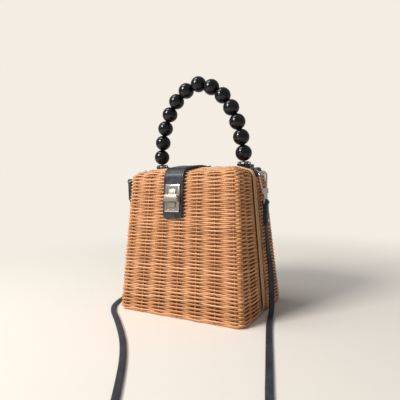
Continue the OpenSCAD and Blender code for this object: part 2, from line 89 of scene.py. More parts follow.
camera_data = bpy.data.cameras.new("photo_camera")
camera_data.sensor_width = 36.0
camera_data.lens = 36.0
camera_data.clip_start = 0.01
camera = bpy.data.objects.new("photo_camera", camera_data)
bpy.context.scene.collection.objects.link(camera)
aim = (LOOK_AT - EYE).to_track_quat("-Z", "Y").to_matrix().to_4x4()
camera.matrix_world = Matrix.Translation(EYE) @ aim @ Matrix.Rotation(ROLL, 4, "Z")
bpy.context.scene.camera = camera
print("camera distance: %.3f m" % (LOOK_AT - EYE).length)

# %% [markdown]
# ## Floor and light
# A pale floor fades into a world of the same colour, so that no horizon shows behind the bag. The world
# also fills the shadows. The level is plain: a colour renders about as it is written. Mirror rays see
# only a share of the bright backdrop, so that black lacquer stays black.

# %% World and floor
CREAM = (0.905, 0.847, 0.768)
FLOOR = (0.87, 0.828, 0.763)
FADE_START, FADE_END = 0.16, 0.62
FILL, FILL_LEVEL, MIRROR_SHARE = (0.95, 0.97, 1.0), 0.24, 0.2
FLOOR_HALF = 6.0


def node_of(tree, kind, **values):
    """Adds a node and sets its properties, or its inputs where a name is an input's."""
    node = tree.nodes.new(kind)
    for name, value in values.items():
        if hasattr(node, name):
            setattr(node, name, value)
        else:
            node.inputs[name.replace("_", " ")].default_value = value
    return node


def seen_directly(tree):
    """1 for the rays that show the backdrop to the camera, and a share of it in mirror rays."""
    rays = node_of(tree, "ShaderNodeLightPath")
    share = node_of(tree, "ShaderNodeMath", operation="MULTIPLY")
    share.inputs[1].default_value = MIRROR_SHARE
    both = node_of(tree, "ShaderNodeMath", operation="MAXIMUM")
    tree.links.new(rays.outputs["Is Glossy Ray"], share.inputs[0])
    tree.links.new(rays.outputs["Is Camera Ray"], both.inputs[0])
    tree.links.new(share.outputs[0], both.inputs[1])
    return both.outputs[0]


def studio_world():
    """A world that fills the shadows softly and shows the camera a plain backdrop."""
    world = bpy.data.worlds.new("studio")
    world.use_nodes = True
    tree = world.node_tree
    tree.nodes.clear()
    fill = node_of(tree, "ShaderNodeBackground", Color=(*FILL, 1), Strength=FILL_LEVEL)
    backdrop = node_of(tree, "ShaderNodeBackground", Color=(*CREAM, 1), Strength=1.0)
    mix = node_of(tree, "ShaderNodeMixShader")
    out = node_of(tree, "ShaderNodeOutputWorld")
    tree.links.new(seen_directly(tree), mix.inputs[0])
    tree.links.new(fill.outputs[0], mix.inputs[1])
    tree.links.new(backdrop.outputs[0], mix.inputs[2])
    tree.links.new(mix.outputs[0], out.inputs["Surface"])
    return world


def floor_material():
    """Matte paper near the bag, which fades to the backdrop's colour further out."""
    material = bpy.data.materials.new("pale_floor")
    material.use_nodes = True
    tree = material.node_tree
    tree.nodes.clear()
    matte = node_of(tree, "ShaderNodeBsdfDiffuse", Color=(*FLOOR, 1))
    glow = node_of(tree, "ShaderNodeEmission", Color=(*CREAM, 1), Strength=1.0)
    where = node_of(tree, "ShaderNodeTexCoord")
    reach = node_of(tree, "ShaderNodeVectorMath", operation="LENGTH")
    fade = node_of(tree, "ShaderNodeMapRange", interpolation_type="SMOOTHSTEP")
    fade.inputs["From Min"].default_value = FADE_START
    fade.inputs["From Max"].default_value = FADE_END
    only_seen = node_of(tree, "ShaderNodeMath", operation="MULTIPLY")
    mix = node_of(tree, "ShaderNodeMixShader")
    out = node_of(tree, "ShaderNodeOutputMaterial")
    tree.links.new(where.outputs["Object"], reach.inputs[0])
    tree.links.new(reach.outputs["Value"], fade.inputs["Value"])
    tree.links.new(fade.outputs["Result"], only_seen.inputs[0])
    tree.links.new(seen_directly(tree), only_seen.inputs[1])
    tree.links.new(only_seen.outputs[0], mix.inputs[0])
    tree.links.new(matte.outputs[0], mix.inputs[1])
    tree.links.new(glow.outputs[0], mix.inputs[2])
    tree.links.new(mix.outputs[0], out.inputs["Surface"])
    return material


bpy.context.scene.world = studio_world()
floor_bm = bmesh.new()
bmesh.ops.create_grid(floor_bm, x_segments=8, y_segments=8, size=FLOOR_HALF)
floor_mesh = bpy.data.meshes.new("floor")
floor_bm.to_mesh(floor_mesh)
floor_bm.free()
floor_mesh.materials.append(floor_material())
floor = bpy.data.objects.new("floor", floor_mesh)
bpy.context.scene.collection.objects.link(floor)
print("floor:", tuple(floor.dimensions))

# %% [markdown]
# A soft lamp in front gives the beads their window-shaped highlight, and a weaker one stands above.

# %% Lamps
BAG_MIDDLE = Vector((0, 0, 0.12))


def soft_lamp(name, place, size, watts, colour):
    """A rectangular lamp that looks at the middle of the bag."""
    data = bpy.data.lights.new(name, "AREA")
    data.shape = "RECTANGLE"
    data.size, data.size_y = size
    data.energy = watts
    data.color = colour
    lamp = bpy.data.objects.new(name, data)
    bpy.context.scene.collection.objects.link(lamp)
    turn = (BAG_MIDDLE - Vector(place)).to_track_quat("-Z", "Y")
    lamp.matrix_world = Matrix.Translation(place) @ turn.to_matrix().to_4x4()
    return lamp


soft_lamp("window_light", (-0.62, -1.08, 0.98), (0.52, 0.42), 20.0, (1.0, 0.97, 0.93))
soft_lamp("top_light", (-0.45, -0.30, 1.30), (0.6, 0.6), 6.0, (1.0, 0.98, 0.95))
bpy.context.scene.view_settings.view_transform = "Standard"
print("lamps:", len(bpy.data.lights))

# %% [markdown]
# ## Helpers for smooth lines and swept shapes
# A strap, a cane and a strand are all a small outline carried along a line. Two ways are used. A
# curve with a bevel is quick for round cane. A flat strap needs its width turned at each point of its
# line, so its first ring of edges is extruded and moved, ring after ring.

# %% Smooth lines and sweeps


def smooth_line(points, steps):
    """A smooth line through rows of numbers, with some samples in each gap."""
    p = np.asarray(points, float)
    p = np.vstack([p[:1], p, p[-1:]])
    rows = []
    for i in range(1, len(p) - 2):
        a, b, c, d = p[i - 1 : i + 3]
        for t in np.arange(steps) / steps:
            bend = (2 * a - 5 * b + 4 * c - d) * t**2 + (3 * b - a - 3 * c + d) * t**3
            rows.append(0.5 * (2 * b + (c - a) * t + bend))
    rows.append(p[-2])
    return np.array(rows)


def length_along(line):
    """Distance from the start of a line to each of its points."""
    return np.concatenate([[0], np.cumsum(np.linalg.norm(np.diff(line, axis=0), axis=1))])


def add_piece(name, mesh, material, body, smooth=True):
    """Makes an object of a mesh, dresses it and lets it ride on a CAD body."""
    piece = bpy.data.objects.new(name, mesh)
    bpy.context.scene.collection.objects.link(piece)
    mesh.materials.clear()
    mesh.materials.append(material)
    if smooth:
        mesh.polygons.foreach_set("use_smooth", np.ones(len(mesh.polygons), bool))
    if body:
        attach(piece, body)
    return piece


def of_kind(geom, kind):
    """The vertices, edges or faces in what an operator returned."""
    return [g for g in geom if isinstance(g, kind)]


def thicken(piece, thickness, offset):
    """Gives a sheet its thickness, in millimetres, with a Solidify modifier."""
    modifier = piece.modifiers.new("thickness", "SOLIDIFY")
    modifier.thickness = thickness * MM
    modifier.offset = offset
    return modifier


def sweep(name, rings):
    """A closed skin over a row of rings: the first ring's edges are extruded and moved on."""
    bm = bmesh.new()
    corners = [bm.verts.new(p) for p in rings[0]]
    edges = [bm.edges.new((a, b)) for a, b in zip(corners, corners[1:] + corners[:1])]
    bm.faces.new(corners[::-1])
    for ring in rings[1:]:
        made = bmesh.ops.extrude_edge_only(bm, edges=edges)["geom"]
        fresh = of_kind(made, bmesh.types.BMVert)
        number = {v: i for i, v in enumerate(corners)}
        following = [None] * len(corners)
        for v in fresh:
            for e in v.link_edges:
                if e.other_vert(v) in number:
                    following[number[e.other_vert(v)]] = v
        for v, p in zip(following, ring):
            v.co = p
        corners = following
        edges = [bm.edges.get((a, b)) for a, b in zip(corners, corners[1:] + corners[:1])]
    bm.faces.new(corners)
    bmesh.ops.recalc_face_normals(bm, faces=bm.faces)
    mesh = bpy.data.meshes.new(name)
    bm.to_mesh(mesh)
    bm.free()
    return mesh


print("helpers ready")

# %% [markdown]
# ## Leather
# The strap, flap and tabs are smooth black leather with a blue-grey sheen. Its grain is a field of
# tiny cells pressed by bump, and a broad, weak noise keeps one patch a little duller than the next.

# %% Leather material


def principled(name, **values):
    """A material with one Principled shader; values are its constant inputs."""
    material = bpy.data.materials.new(name)
    material.use_nodes = True
    tree = material.node_tree
    tree.nodes.clear()
    shader = node_of(tree, "ShaderNodeBsdfPrincipled")
    out = node_of(tree, "ShaderNodeOutputMaterial")
    tree.links.new(shader.outputs[0], out.inputs["Surface"])
    for key, value in values.items():
        shader.inputs[key.replace("_", " ")].default_value = value
    return material, tree, shader


def tint_by(tree, source, shader, stops):
    """Colours a shader by a texture, through a ramp with a list of (place, colour)."""
    ramp = node_of(tree, "ShaderNodeValToRGB")
    while len(ramp.color_ramp.elements) < len(stops):
        ramp.color_ramp.elements.new(0.5)
    for element, (place, colour) in zip(ramp.color_ramp.elements, stops):
        element.position = place
        element.color = (*colour, 1)
    tree.links.new(source, ramp.inputs["Fac"])
    tree.links.new(ramp.outputs["Color"], shader.inputs["Base Color"])


def dull_by(tree, source, shader, low, high):
    """Moves a shader's roughness between two values by a texture."""
    dull = node_of(tree, "ShaderNodeMapRange", To_Min=low, To_Max=high)
    tree.links.new(source, dull.inputs["Value"])
    tree.links.new(dull.outputs["Result"], shader.inputs["Roughness"])


def press_by(tree, source, shader, strength, distance):
    """Presses a texture into a shader's surface by bump."""
    bump = node_of(tree, "ShaderNodeBump", Strength=strength, Distance=distance)
    tree.links.new(source, bump.inputs["Height"])
    tree.links.new(bump.outputs["Normal"], shader.inputs["Normal"])


def leather_material(name, dark, light, roughness):
    """Grained leather between two tones."""
    material, tree, shader = principled(name)
    shader.inputs["Specular IOR Level"].default_value = 0.34
    spot = node_of(tree, "ShaderNodeTexCoord")
    patches = node_of(tree, "ShaderNodeTexNoise", Scale=140.0, Detail=4.0)
    cells = node_of(tree, "ShaderNodeTexVoronoi", feature="DISTANCE_TO_EDGE", Scale=1500.0)
    tree.links.new(spot.outputs["Object"], patches.inputs["Vector"])
    tree.links.new(spot.outputs["Object"], cells.inputs["Vector"])
    tint_by(tree, patches.outputs["Fac"], shader, [(0.3, dark), (0.75, light)])
    dull_by(tree, patches.outputs["Fac"], shader, roughness - 0.06, roughness + 0.10)
    press_by(tree, cells.outputs["Distance"], shader, 0.25, 0.00012)
    return material


LEATHER = leather_material("black_leather", (0.018, 0.021, 0.031), (0.048, 0.056, 0.078), 0.36)
print("leather nodes:", len(LEATHER.node_tree.nodes))

# %% [markdown]
# ## Shoulder strap
# The strap is a flat leather lace, 6 mm wide, clipped on at both sides. It hangs from each hook to the
# floor and lies there in one long bend. The route repeats the CAD strap's points: place, and the
# direction of the strap's width seen from above.

# %% Shoulder strap
STRAP_WIDTH, STRAP_THICK = 6 * MM, 2 * MM
END_TOP, END_SLOT, END_LENGTH = 3.4, 9, 24
STRAP_Y = 9


def eye_of(node):
    """Centre line of a folded strap end, in millimetres: where its hook's bar is."""
    low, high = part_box(node)
    return (low.x + high.x) / 2 / MM, high.z / MM - END_TOP


(left_x, left_z), (right_x, right_z) = eye_of("left_strap_end"), eye_of("right_strap_end")
STRAP_ROUTE = [
    (left_x, STRAP_Y, left_z - END_SLOT, 90), (left_x, STRAP_Y, left_z - END_LENGTH, 90),
    (-103, 9, 100, 80), (-104, 9, 76, 60), (-104.5, 9, 54, 35), (-105, 8, 34, 12),
    (-103.5, 5, 16, 2), (-101, -6, 4.2, 2), (-98, -21, 1.3, 5), (-93.5, -38, 1.1, 18),
    (-86, -54, 1.1, 36), (-73.5, -69, 1.1, 44), (-54, -86, 1.1, 46), (-30, -108, 1.1, 44),
    (-8, -130, 1.1, 42), (14, -156, 1.1, 38), (34, -183, 1.1, 34), (54, -212, 1.1, 32),
    (72, -242, 1.1, 31), (91, -273, 1.1, 36), (112, -298, 1.1, 62), (140, -310, 1.1, 96),
    (167, -299, 1.1, 140), (179, -272, 1.1, 176), (176, -242, 1.1, 196), (164, -212, 1.1, 204),
    (150, -182, 1.1, 205), (138, -152, 1.1, 202), (127, -122, 1.1, 200), (116, -92, 1.1, 200),
    (105, -62, 1.1, 199), (95, -34, 1.3, 197), (89, -13, 1.9, 194), (86, -1, 9, 196),
    (84.5, 4, 26, 212), (83, 6, 46, 232), (80, 8, 68, 254),
    (right_x, STRAP_Y, right_z - END_LENGTH, 270), (right_x, STRAP_Y, right_z - END_SLOT, 270),
]
STRAP_SECTION = [
    (0.5, 0), (0.485, 0.34), (0.44, 0.47), (0.22, 0.5), (-0.22, 0.5), (-0.44, 0.47),
    (-0.485, 0.34), (-0.5, 0), (-0.485, -0.34), (-0.44, -0.47), (-0.22, -0.5), (0.22, -0.5),
    (0.44, -0.47), (0.485, -0.34),
]


def strap_rings(line, angles):
    """Rings of the strap's outline, square to its line, with its width turned to each angle."""
    heading = np.gradient(line, axis=0)
    heading /= np.linalg.norm(heading, axis=1)[:, None]
    across = np.column_stack([np.cos(angles), np.sin(angles), np.zeros(len(angles))])
    across -= heading * (across * heading).sum(1)[:, None]
    across /= np.linalg.norm(across, axis=1)[:, None]
    upright = np.cross(heading, across)
    return [
        [p + w * s * STRAP_WIDTH + n * t * STRAP_THICK for s, t in STRAP_SECTION]
        for p, w, n in zip(line, across, upright)
    ]


strap_samples = smooth_line(STRAP_ROUTE, 4)
strap_line = strap_samples[:, :3] * MM
strap_turn = np.radians(strap_samples[:, 3])
strap_mesh = sweep("shoulder_strap_leather", strap_rings(strap_line, strap_turn))
strap = add_piece("shoulder_strap_leather", strap_mesh, LEATHER, "back")
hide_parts("shoulder_strap")

# %% [markdown]
# ## The woven halves
# Each half is a plain weave: upright stakes, and thin cane strands that run round from rim to rim,
# over one stake and under the next, with the neighbouring row the other way about. The dark dashes
# beside each stake are the places where a strand dives behind. A bump map can't give that look from
# every side, so every strand is real: a smooth line round the bag that swings in and out, with a
# round bevel. The lines follow the same outline and levels as the CAD half.

# %% Outline of a half and its rows of strands
SEAM_Y = 3.3
W_BASE, W_TOP, D_BASE, D_TOP = 78.0, 69.0, 52.7, 34.7
FOOT, WALL_TOP, SHOULDER, ROOF_RISE, ROOF_IN = 4.0, 146.0, 9.0, 3.0, 14.0
QUARTER = [(1, 0), (1, 0.4), (0.995, 0.8), (0.966, 0.954), (0.88, 1), (0.587, 1), (0.293, 1)]
TURNS = [0, 0, 6, 45, 84, 90, 90]
N_STAKE = 7
WALL_ROWS, BEND_ROWS, ROOF_ROWS, BASE_ROWS = 76, 7, 13, 21
LIP_IN, LIP_Z, LIP_TILT = 0.4, 2.2, math.radians(-20)
SEAM_TOP = (W_TOP - SHOULDER - ROOF_IN, WALL_TOP + SHOULDER + ROOF_RISE)

left_side = [(-x, y, t) for (x, y), t in zip(QUARTER, TURNS)]
right_side = [(x, y, 180 - t) for (x, y), t in zip(QUARTER[::-1], TURNS[::-1])]
OUTLINE = np.array(left_side + [(0, 1, 90)] + right_side, float)
OUTLINE_STEPS = 24
OUTLINE_FINE = smooth_line(OUTLINE, OUTLINE_STEPS)


def outline_at(u):
    """Place and facing of the outline at stake number u, from -7 at one rim to 7 at the other."""
    at = (np.asarray(u) + N_STAKE) * OUTLINE_STEPS
    x, y, turn = (np.interp(at, np.arange(len(OUTLINE_FINE)), col) for col in OUTLINE_FINE.T)
    return x, y, np.radians(turn)


def on_half(u, width, depth, height, tilt, out):
    """Points of the front half in millimetres: an outline scaled to a level, moved out by some."""
    x, y, turn = outline_at(u)
    flat = np.cos(tilt) * out
    return np.column_stack([
        width * x - np.cos(turn) * flat,
        -SEAM_Y - depth * y - np.sin(turn) * flat,
        np.broadcast_to(height + np.sin(tilt) * out, x.shape),
    ])


def levels():
    """Rows up one half as (half width, depth, height, tilt): corner, wall, shoulder and roof."""
    rows = [(W_BASE - LIP_IN, D_BASE - LIP_IN, LIP_Z, LIP_TILT)]
    for t in np.linspace(0, 1, WALL_ROWS + 1):
        rows.append((W_BASE + (W_TOP - W_BASE) * t, D_BASE + (D_TOP - D_BASE) * t,
                     FOOT + (WALL_TOP - FOOT) * t, 0.0))
    for a in np.arange(1, BEND_ROWS + 1) * math.pi / 2 / BEND_ROWS:
        inset = SHOULDER * (1 - math.cos(a))
        rows.append((W_TOP - inset, D_TOP - inset, WALL_TOP + SHOULDER * math.sin(a), a))
    for t in np.arange(1, ROOF_ROWS) / ROOF_ROWS:
        rows.append((W_TOP - SHOULDER - ROOF_IN * t, (D_TOP - SHOULDER) * (1 - t),
                     WALL_TOP + SHOULDER + ROOF_RISE * math.sin(t * math.pi / 2), math.pi / 2))
    return np.array(rows)


LEVELS = levels()
print("rows in a half:", len(LEVELS), "plus", BASE_ROWS, "under the base")

# %% [markdown]
# A strand's swing is a cosine of the stake number, so it is furthest out on one stake and furthest in
# on the next. Round a corner the strand is pulled tight, so there it swings less. Hand weaving is never
# even: each strand gets its own small drift up and down, its own swing and its own tone. The random
# numbers are seeded, so the bag is the same every time.

# %% Strands
STRAND_R, SWING, SUNK = 0.93, 1.40, -1.66
SWING_RANGE, THICK_RANGE = (0.85, 1.12), (0.94, 1.04)
END_GAP, END_EASE, END_SWING = 0.32, 0.5, 0.35
CORNER_STAKE, CORNER_REACH, CORNER_CALM, CORNER_LIFT = 4.0, 0.7, 0.5, 0.5
LOOSE_WALL, LOOSE_BEND, LEVEL_FOOT = 0.16, 0.30, 30
DRIFT_WAVES, DRIFT_RANGE = (0.9, 2.1, 3.3), (0.4, 1.0)
HILLS = [(0.45, 0.55, 0.045, 0.0), (0.30, 1.15, -0.07, 2.0)]
FULL_PITCH, THINNEST = 1.868, 0.62
STRAND_POINTS = 8 * N_STAKE + 1
BASE_START, BASE_IN, BASE_TIP = (40, 8.4), (2.0, 2.4), 6.6
BASE_SUNK, BASE_SWING, BASE_THICK = -1.25, 0.3, 0.97
STRIP_ROOM = (63, 9.8)
FRONT_SEED, BACK_SEED = 11, 29


def wander(rng, u, size):
    """A slow, smooth drift along a strand."""
    drift = np.zeros_like(u)
    for wave in DRIFT_WAVES:
        drift += rng.uniform(*DRIFT_RANGE) * np.sin(u * wave + rng.uniform(0, 2 * math.pi))
    return size * drift / len(DRIFT_WAVES)


def shared_drift(u, z):
    """Hills and hollows that all rows near one place follow together."""
    return sum(size * np.sin(along * u + up * z + shift) for size, along, up, shift in HILLS)


def wall_strands(rng):
    """Centre lines of the strands up the wall and over the shoulder of the front half."""
    reach = N_STAKE - END_GAP
    u = np.linspace(-reach, reach, STRAND_POINTS)
    ease = np.clip((reach - np.abs(u)) / END_EASE, 0, 1)
    corner = np.exp(-(((np.abs(u) - CORNER_STAKE) / CORNER_REACH) ** 2))
    calm = (END_SWING + (1 - END_SWING) * ease) * (1 - CORNER_CALM * corner)
    lines = []
    for k, (width, depth, height, tilt) in enumerate(LEVELS):
        side = 1 if k % 2 else -1
        swing = SWING * rng.uniform(*SWING_RANGE) * calm
        out = SUNK + CORNER_LIFT * corner + side * swing * np.cos(math.pi * u)
        line = on_half(u, width, depth, height, tilt, out)
        loose = LOOSE_WALL if tilt == 0 else LOOSE_BEND
        hill = shared_drift(u, height) * ease * np.clip(height / LEVEL_FOOT, 0, 1)
        line[:, 2] += np.cos(tilt) * (wander(rng, u, loose) + hill)
        lines.append(line)
    return lines


def strand_thickness(lines, rng):
    """How thick each strand is along the way: thinner where the rows are close together."""
    thick = []
    for k, line in enumerate(lines):
        others = [lines[j] for j in (k - 2, k + 2) if 0 <= j < len(lines)]
        pitch = np.mean([np.linalg.norm(other - line, axis=1) for other in others], axis=0) / 2
        thick.append(np.clip(pitch / FULL_PITCH, THINNEST, 1.0) * rng.uniform(*THICK_RANGE))
    return thick


def base_strands():
    """Centre lines of the strands under the base; the inner ones leave room for the hinge strip."""
    stakes_back = N_STAKE - np.arange(OUTLINE_STEPS * N_STAKE) / OUTLINE_STEPS
    outline_y = OUTLINE_FINE[: len(stakes_back), 1]
    lines = []
    for k, t in enumerate(np.linspace(0, 1, BASE_ROWS)):
        width = BASE_START[0] + (W_BASE - BASE_IN[0] - BASE_START[0]) * t
        depth = BASE_START[1] + (D_BASE - BASE_IN[1] - BASE_START[1]) * t
        tip = BASE_TIP
        if width <= STRIP_ROOM[0]:
            tip = np.interp(STRIP_ROOM[1] - SEAM_Y, depth * outline_y, stakes_back)
        u = np.linspace(-tip, tip, STRAND_POINTS)
        swing = BASE_SWING if k % 2 else -BASE_SWING
        out = BASE_SUNK + swing * np.cos(math.pi * u)
        lines.append(on_half(u, width, depth, 0.0, -math.pi / 2, out))
    return lines


def strand_lines(rng):
    """All strands of the front half: their centre lines, and how thick each is along the way."""
    wall = wall_strands(rng)
    base = base_strands()
    thick = strand_thickness(wall, rng) + [np.full(STRAND_POINTS, BASE_THICK)] * len(base)
    return wall + base, thick


front_lines, front_thick = strand_lines(np.random.default_rng(FRONT_SEED))
back_lines, back_thick = strand_lines(np.random.default_rng(BACK_SEED))
print("strands in a half:", len(front_lines), "points each:", STRAND_POINTS)

# %% [markdown]
# A curve with a round bevel makes cane of each line. The mesh keeps two values for the material: each
# cane's tone, and a place along and round its fibres.

# %% Cane meshes
TONE_SEED, FIBRE_SHIFT = 5, 700


def round_canes(name, lines, radius, thick, tones, cyclic=False, resolution=2):
    """One mesh of round canes on given lines, with each cane's tone and fibre direction kept."""
    curve = bpy.data.curves.new(name, "CURVE")
    curve.dimensions = "3D"
    curve.bevel_depth = radius * MM
    curve.bevel_resolution = resolution
    for line, widths in zip(lines, thick):
        spline = curve.splines.new("POLY")
        spline.points.add(len(line) - 1)
        spline.points.foreach_set("co", np.column_stack([line * MM, np.ones(len(line))]).ravel())
        spline.points.foreach_set("radius", np.asarray(widths, float))
        spline.use_cyclic_u = cyclic
    holder = bpy.data.objects.new(name, curve)
    bpy.context.scene.collection.objects.link(holder)
    solid = holder.evaluated_get(bpy.context.evaluated_depsgraph_get())
    mesh = bpy.data.meshes.new_from_object(solid)
    bpy.data.objects.remove(holder)
    bpy.data.curves.remove(curve)
    around = 4 + 2 * resolution
    spin = np.arange(around) * 2 * math.pi / around
    tone, fibre = [], []
    for line, shade in zip(lines, tones):
        run = np.repeat(length_along(line), around)
        turn = np.tile(spin, len(line))
        tone.append(np.full(len(run), shade))
        fibre.append(np.column_stack([run + FIBRE_SHIFT * shade, np.cos(turn), np.sin(turn)]))
    tone_data = mesh.attributes.new("tone", "FLOAT", "POINT").data
    tone_data.foreach_set("value", np.concatenate(tone))
    fibre_data = mesh.attributes.new("fibre", "FLOAT_VECTOR", "POINT").data
    fibre_data.foreach_set("vector", np.concatenate(fibre).ravel())
    bm = bmesh.new()
    bm.from_mesh(mesh)
    bmesh.ops.holes_fill(bm, edges=bm.edges, sides=around)
    bm.to_mesh(mesh)
    bm.free()
    mesh.name = name
    return mesh


def mirrored(lines):
    """The same lines for the back half."""
    return [line * [1, -1, 1] for line in lines]


tone_rng = np.random.default_rng(TONE_SEED)
front_tones = tone_rng.random(len(front_lines))
back_tones = tone_rng.random(len(back_lines))
front_weave_mesh = round_canes("front_weave", front_lines, STRAND_R, front_thick, front_tones)
back_weave_mesh = round_canes("back_weave", mirrored(back_lines), STRAND_R, back_thick, back_tones)
print("points in the front weave:", len(front_weave_mesh.vertices))

# %% [markdown]
# Cane is a pale grass wood: honey coloured, with long fibres, some strands lighter and some browner,
# and a satin skin. The colour comes from each strand's own tone and from a noise that is stretched
# along its fibres, which the mesh carries as an attribute.

# %% Cane material


def cane_material(name, stops, roughness, streak):
    """Cane whose tone is partly each strand's own and partly streaks along its fibres."""
    material, tree, shader = principled(name)
    shader.inputs["Specular IOR Level"].default_value = 0.50
    tone = node_of(tree, "ShaderNodeAttribute", attribute_name="tone")
    fibre = node_of(tree, "ShaderNodeAttribute", attribute_name="fibre")
    along = node_of(tree, "ShaderNodeMapping", vector_type="POINT")
    along.inputs["Scale"].default_value = (0.05, 1.6, 1.6)
    streaks = node_of(tree, "ShaderNodeTexNoise", Scale=2.2, Detail=5.0, Roughness=0.6)
    tree.links.new(fibre.outputs["Vector"], along.inputs["Vector"])
    tree.links.new(along.outputs["Vector"], streaks.inputs["Vector"])
    mix = node_of(tree, "ShaderNodeMath", operation="MULTIPLY_ADD")
    mix.inputs[1].default_value = streak
    tree.links.new(streaks.outputs["Fac"], mix.inputs[0])
    share = node_of(tree, "ShaderNodeMath", operation="MULTIPLY")
    share.inputs[1].default_value = 1 - streak
    tree.links.new(tone.outputs["Fac"], share.inputs[0])
    tree.links.new(share.outputs[0], mix.inputs[2])
    tint_by(tree, mix.outputs[0], shader, stops)
    dull_by(tree, streaks.outputs["Fac"], shader, roughness - 0.08, roughness + 0.12)
    press_by(tree, streaks.outputs["Fac"], shader, 0.25, 0.0002)
    return material


STRAND_CANE = cane_material(
    "honey_cane",
    [(0.15, (0.43, 0.180, 0.067)), (0.45, (0.66, 0.308, 0.128)), (0.80, (0.85, 0.468, 0.240))],
    0.46, 0.55)
RIM_CANE = cane_material(
    "pale_cane",
    [(0.15, (0.48, 0.24, 0.105)), (0.5, (0.70, 0.41, 0.210)), (0.85, (0.84, 0.56, 0.330))],
    0.42, 0.6)
front_weave = add_piece("front_weave", front_weave_mesh, STRAND_CANE, "front")
back_weave = add_piece("back_weave", back_weave_mesh, STRAND_CANE, "back")
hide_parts("front_basket")
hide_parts("back_basket")
for piece in (front_weave, back_weave):
    piece.data.calc_loop_triangles()
    print(piece.name, "triangles:", len(piece.data.loop_triangles))

# %% [markdown]
# The stakes stand inside the weave, from the base over the wall and the shoulder to the seam. Only
# slivers of them show between the strands, in deep shade, and their darker, browner cane paints that
# shade.

# %% Stakes
STAKE_R = 1.15
STAKE_SUNK = -2.0
# Darker, browner cane: painted shade, used for the stakes and the binders.
SHADE_PAINTED_CANE = cane_material(
    "painted_shade_cane",
    [(0.15, (0.34, 0.125, 0.036)), (0.5, (0.45, 0.180, 0.056)), (0.85, (0.55, 0.245, 0.088))],
    0.55, 0.55)
STAKE_FOOT = [(W_BASE - 11, 12.0), (W_BASE - 6, D_BASE - 12), (W_BASE - 2.5, D_BASE - 2.5)]


def stake_lines():
    """Centre lines of the front half's stakes, from under the base up to the seam."""
    rows = [(w, d, 0.0, -math.pi / 2) for w, d in STAKE_FOOT]
    rows += [tuple(r) for r in LEVELS[::3]]
    rows.append(tuple(LEVELS[-1]))
    lines = []
    for number in range(-N_STAKE + 1, N_STAKE):
        u = np.array([float(number)])
        line = np.vstack([on_half(u, w, d, z, t, STAKE_SUNK) for w, d, z, t in rows])
        lines.append(smooth_line(line, 2))
    return lines


stakes = stake_lines()
even = [np.ones(len(line)) for line in stakes]
for half, lines in (("front", stakes), ("back", mirrored(stakes))):
    tones = tone_rng.random(len(lines))
    mesh = round_canes(half + "_stakes", lines, STAKE_R, even, tones, resolution=1)
    add_piece(half + "_stakes", mesh, SHADE_PAINTED_CANE, half)
print("stakes in a half:", len(stakes), "points each:", len(stakes[0]))

# %% [markdown]
# ## Lining
# A thin cotton lining closes each half behind the weave, so no daylight shows between the strands. Its
# very dark brown is partly the cloth's colour and partly painted shade, so that the gaps between the
# strands read as shadow. It follows the same outline, just inside the innermost strands: a flat grid
# whose rows are moved to their places, from the middle of the base up the wall and over to the seam. A
# Solidify modifier then gives the cloth its thickness.

# %% Lining


def shaded_cotton_material():
    """Dull cloth with level threads, in a very dark brown that is partly painted shade."""
    material, tree, shader = principled("cotton_with_painted_shade", Roughness=0.9)
    shader.inputs["Specular IOR Level"].default_value = 0.15
    spot = node_of(tree, "ShaderNodeTexCoord")
    threads = node_of(tree, "ShaderNodeTexWave", wave_type="BANDS", bands_direction="Z",
                      Scale=500.0, Distortion=1.5)
    tree.links.new(spot.outputs["Object"], threads.inputs["Vector"])
    # These dark stops are partly painted shade for the gaps between the strands.
    stops = [(0.2, (0.042, 0.015, 0.005)), (0.8, (0.072, 0.028, 0.010))]
    tint_by(tree, threads.outputs["Fac"], shader, stops)
    return material


def laid_sheet(rows):
    """A sheet through rows of points, as a bmesh: a flat grid with its points moved into place."""
    rows = np.asarray(rows, float)
    bm = bmesh.new()
    bmesh.ops.create_grid(bm, x_segments=rows.shape[1] - 1, y_segments=rows.shape[0] - 1, size=1.0)
    for vert, place in zip(bm.verts, rows.reshape(-1, 3) * MM):
        vert.co = place
    return bm


LINING_IN, LINING_FLOOR, LINING_THICK = -4.4, 3.5, 0.4
LINING_FOOT, LINING_HEEL, HEEL_UP = 6.5, 5.2, 1.2
LINING_U = np.linspace(-N_STAKE, N_STAKE, 8 * N_STAKE + 1)


def lining_rows():
    """Rows of points of the front half's lining: base, heel, wall, shoulder and seam."""
    foot_width, foot_depth = W_BASE - LINING_FOOT, D_BASE - LINING_FOOT
    heel_width, heel_depth = W_BASE - LINING_HEEL, D_BASE - LINING_HEEL
    rows = [on_half(LINING_U, foot_width, depth, LINING_FLOOR, 0, 0) for depth in (0, foot_depth)]
    rows.append(on_half(LINING_U, heel_width, heel_depth, LINING_FLOOR + HEEL_UP, 0, 0))
    rows += [on_half(LINING_U, w, d, z, t, LINING_IN) for w, d, z, t in LEVELS[4::4]]
    rows.append(on_half(LINING_U, SEAM_TOP[0], 0, SEAM_TOP[1], math.pi / 2, LINING_IN))
    return np.array(rows)


SHADED_COTTON = shaded_cotton_material()
for half, flip in (("front", 1), ("back", -1)):
    cloth_bm = laid_sheet(lining_rows() * [1, flip, 1])
    mesh = bpy.data.meshes.new(half + "_lining")
    cloth_bm.to_mesh(mesh)
    cloth_bm.free()
    cloth = add_piece(half + "_lining", mesh, SHADED_COTTON, half)
    thicken(cloth, LINING_THICK, 0.0)
print("lining rows:", len(lining_rows()))

# %% [markdown]
# ## Rims
# Each half ends in a hoop of pale cane round the whole seam, between two binder canes that are set
# deeper: one takes the ends of the strands, and one meets the other half. The binders take the dark
# cane of painted shade, at its darkest tones. Seen from the side, the hoops are two pale lines down
# the seam, and the binders are the dark lines of painted shade beside them.

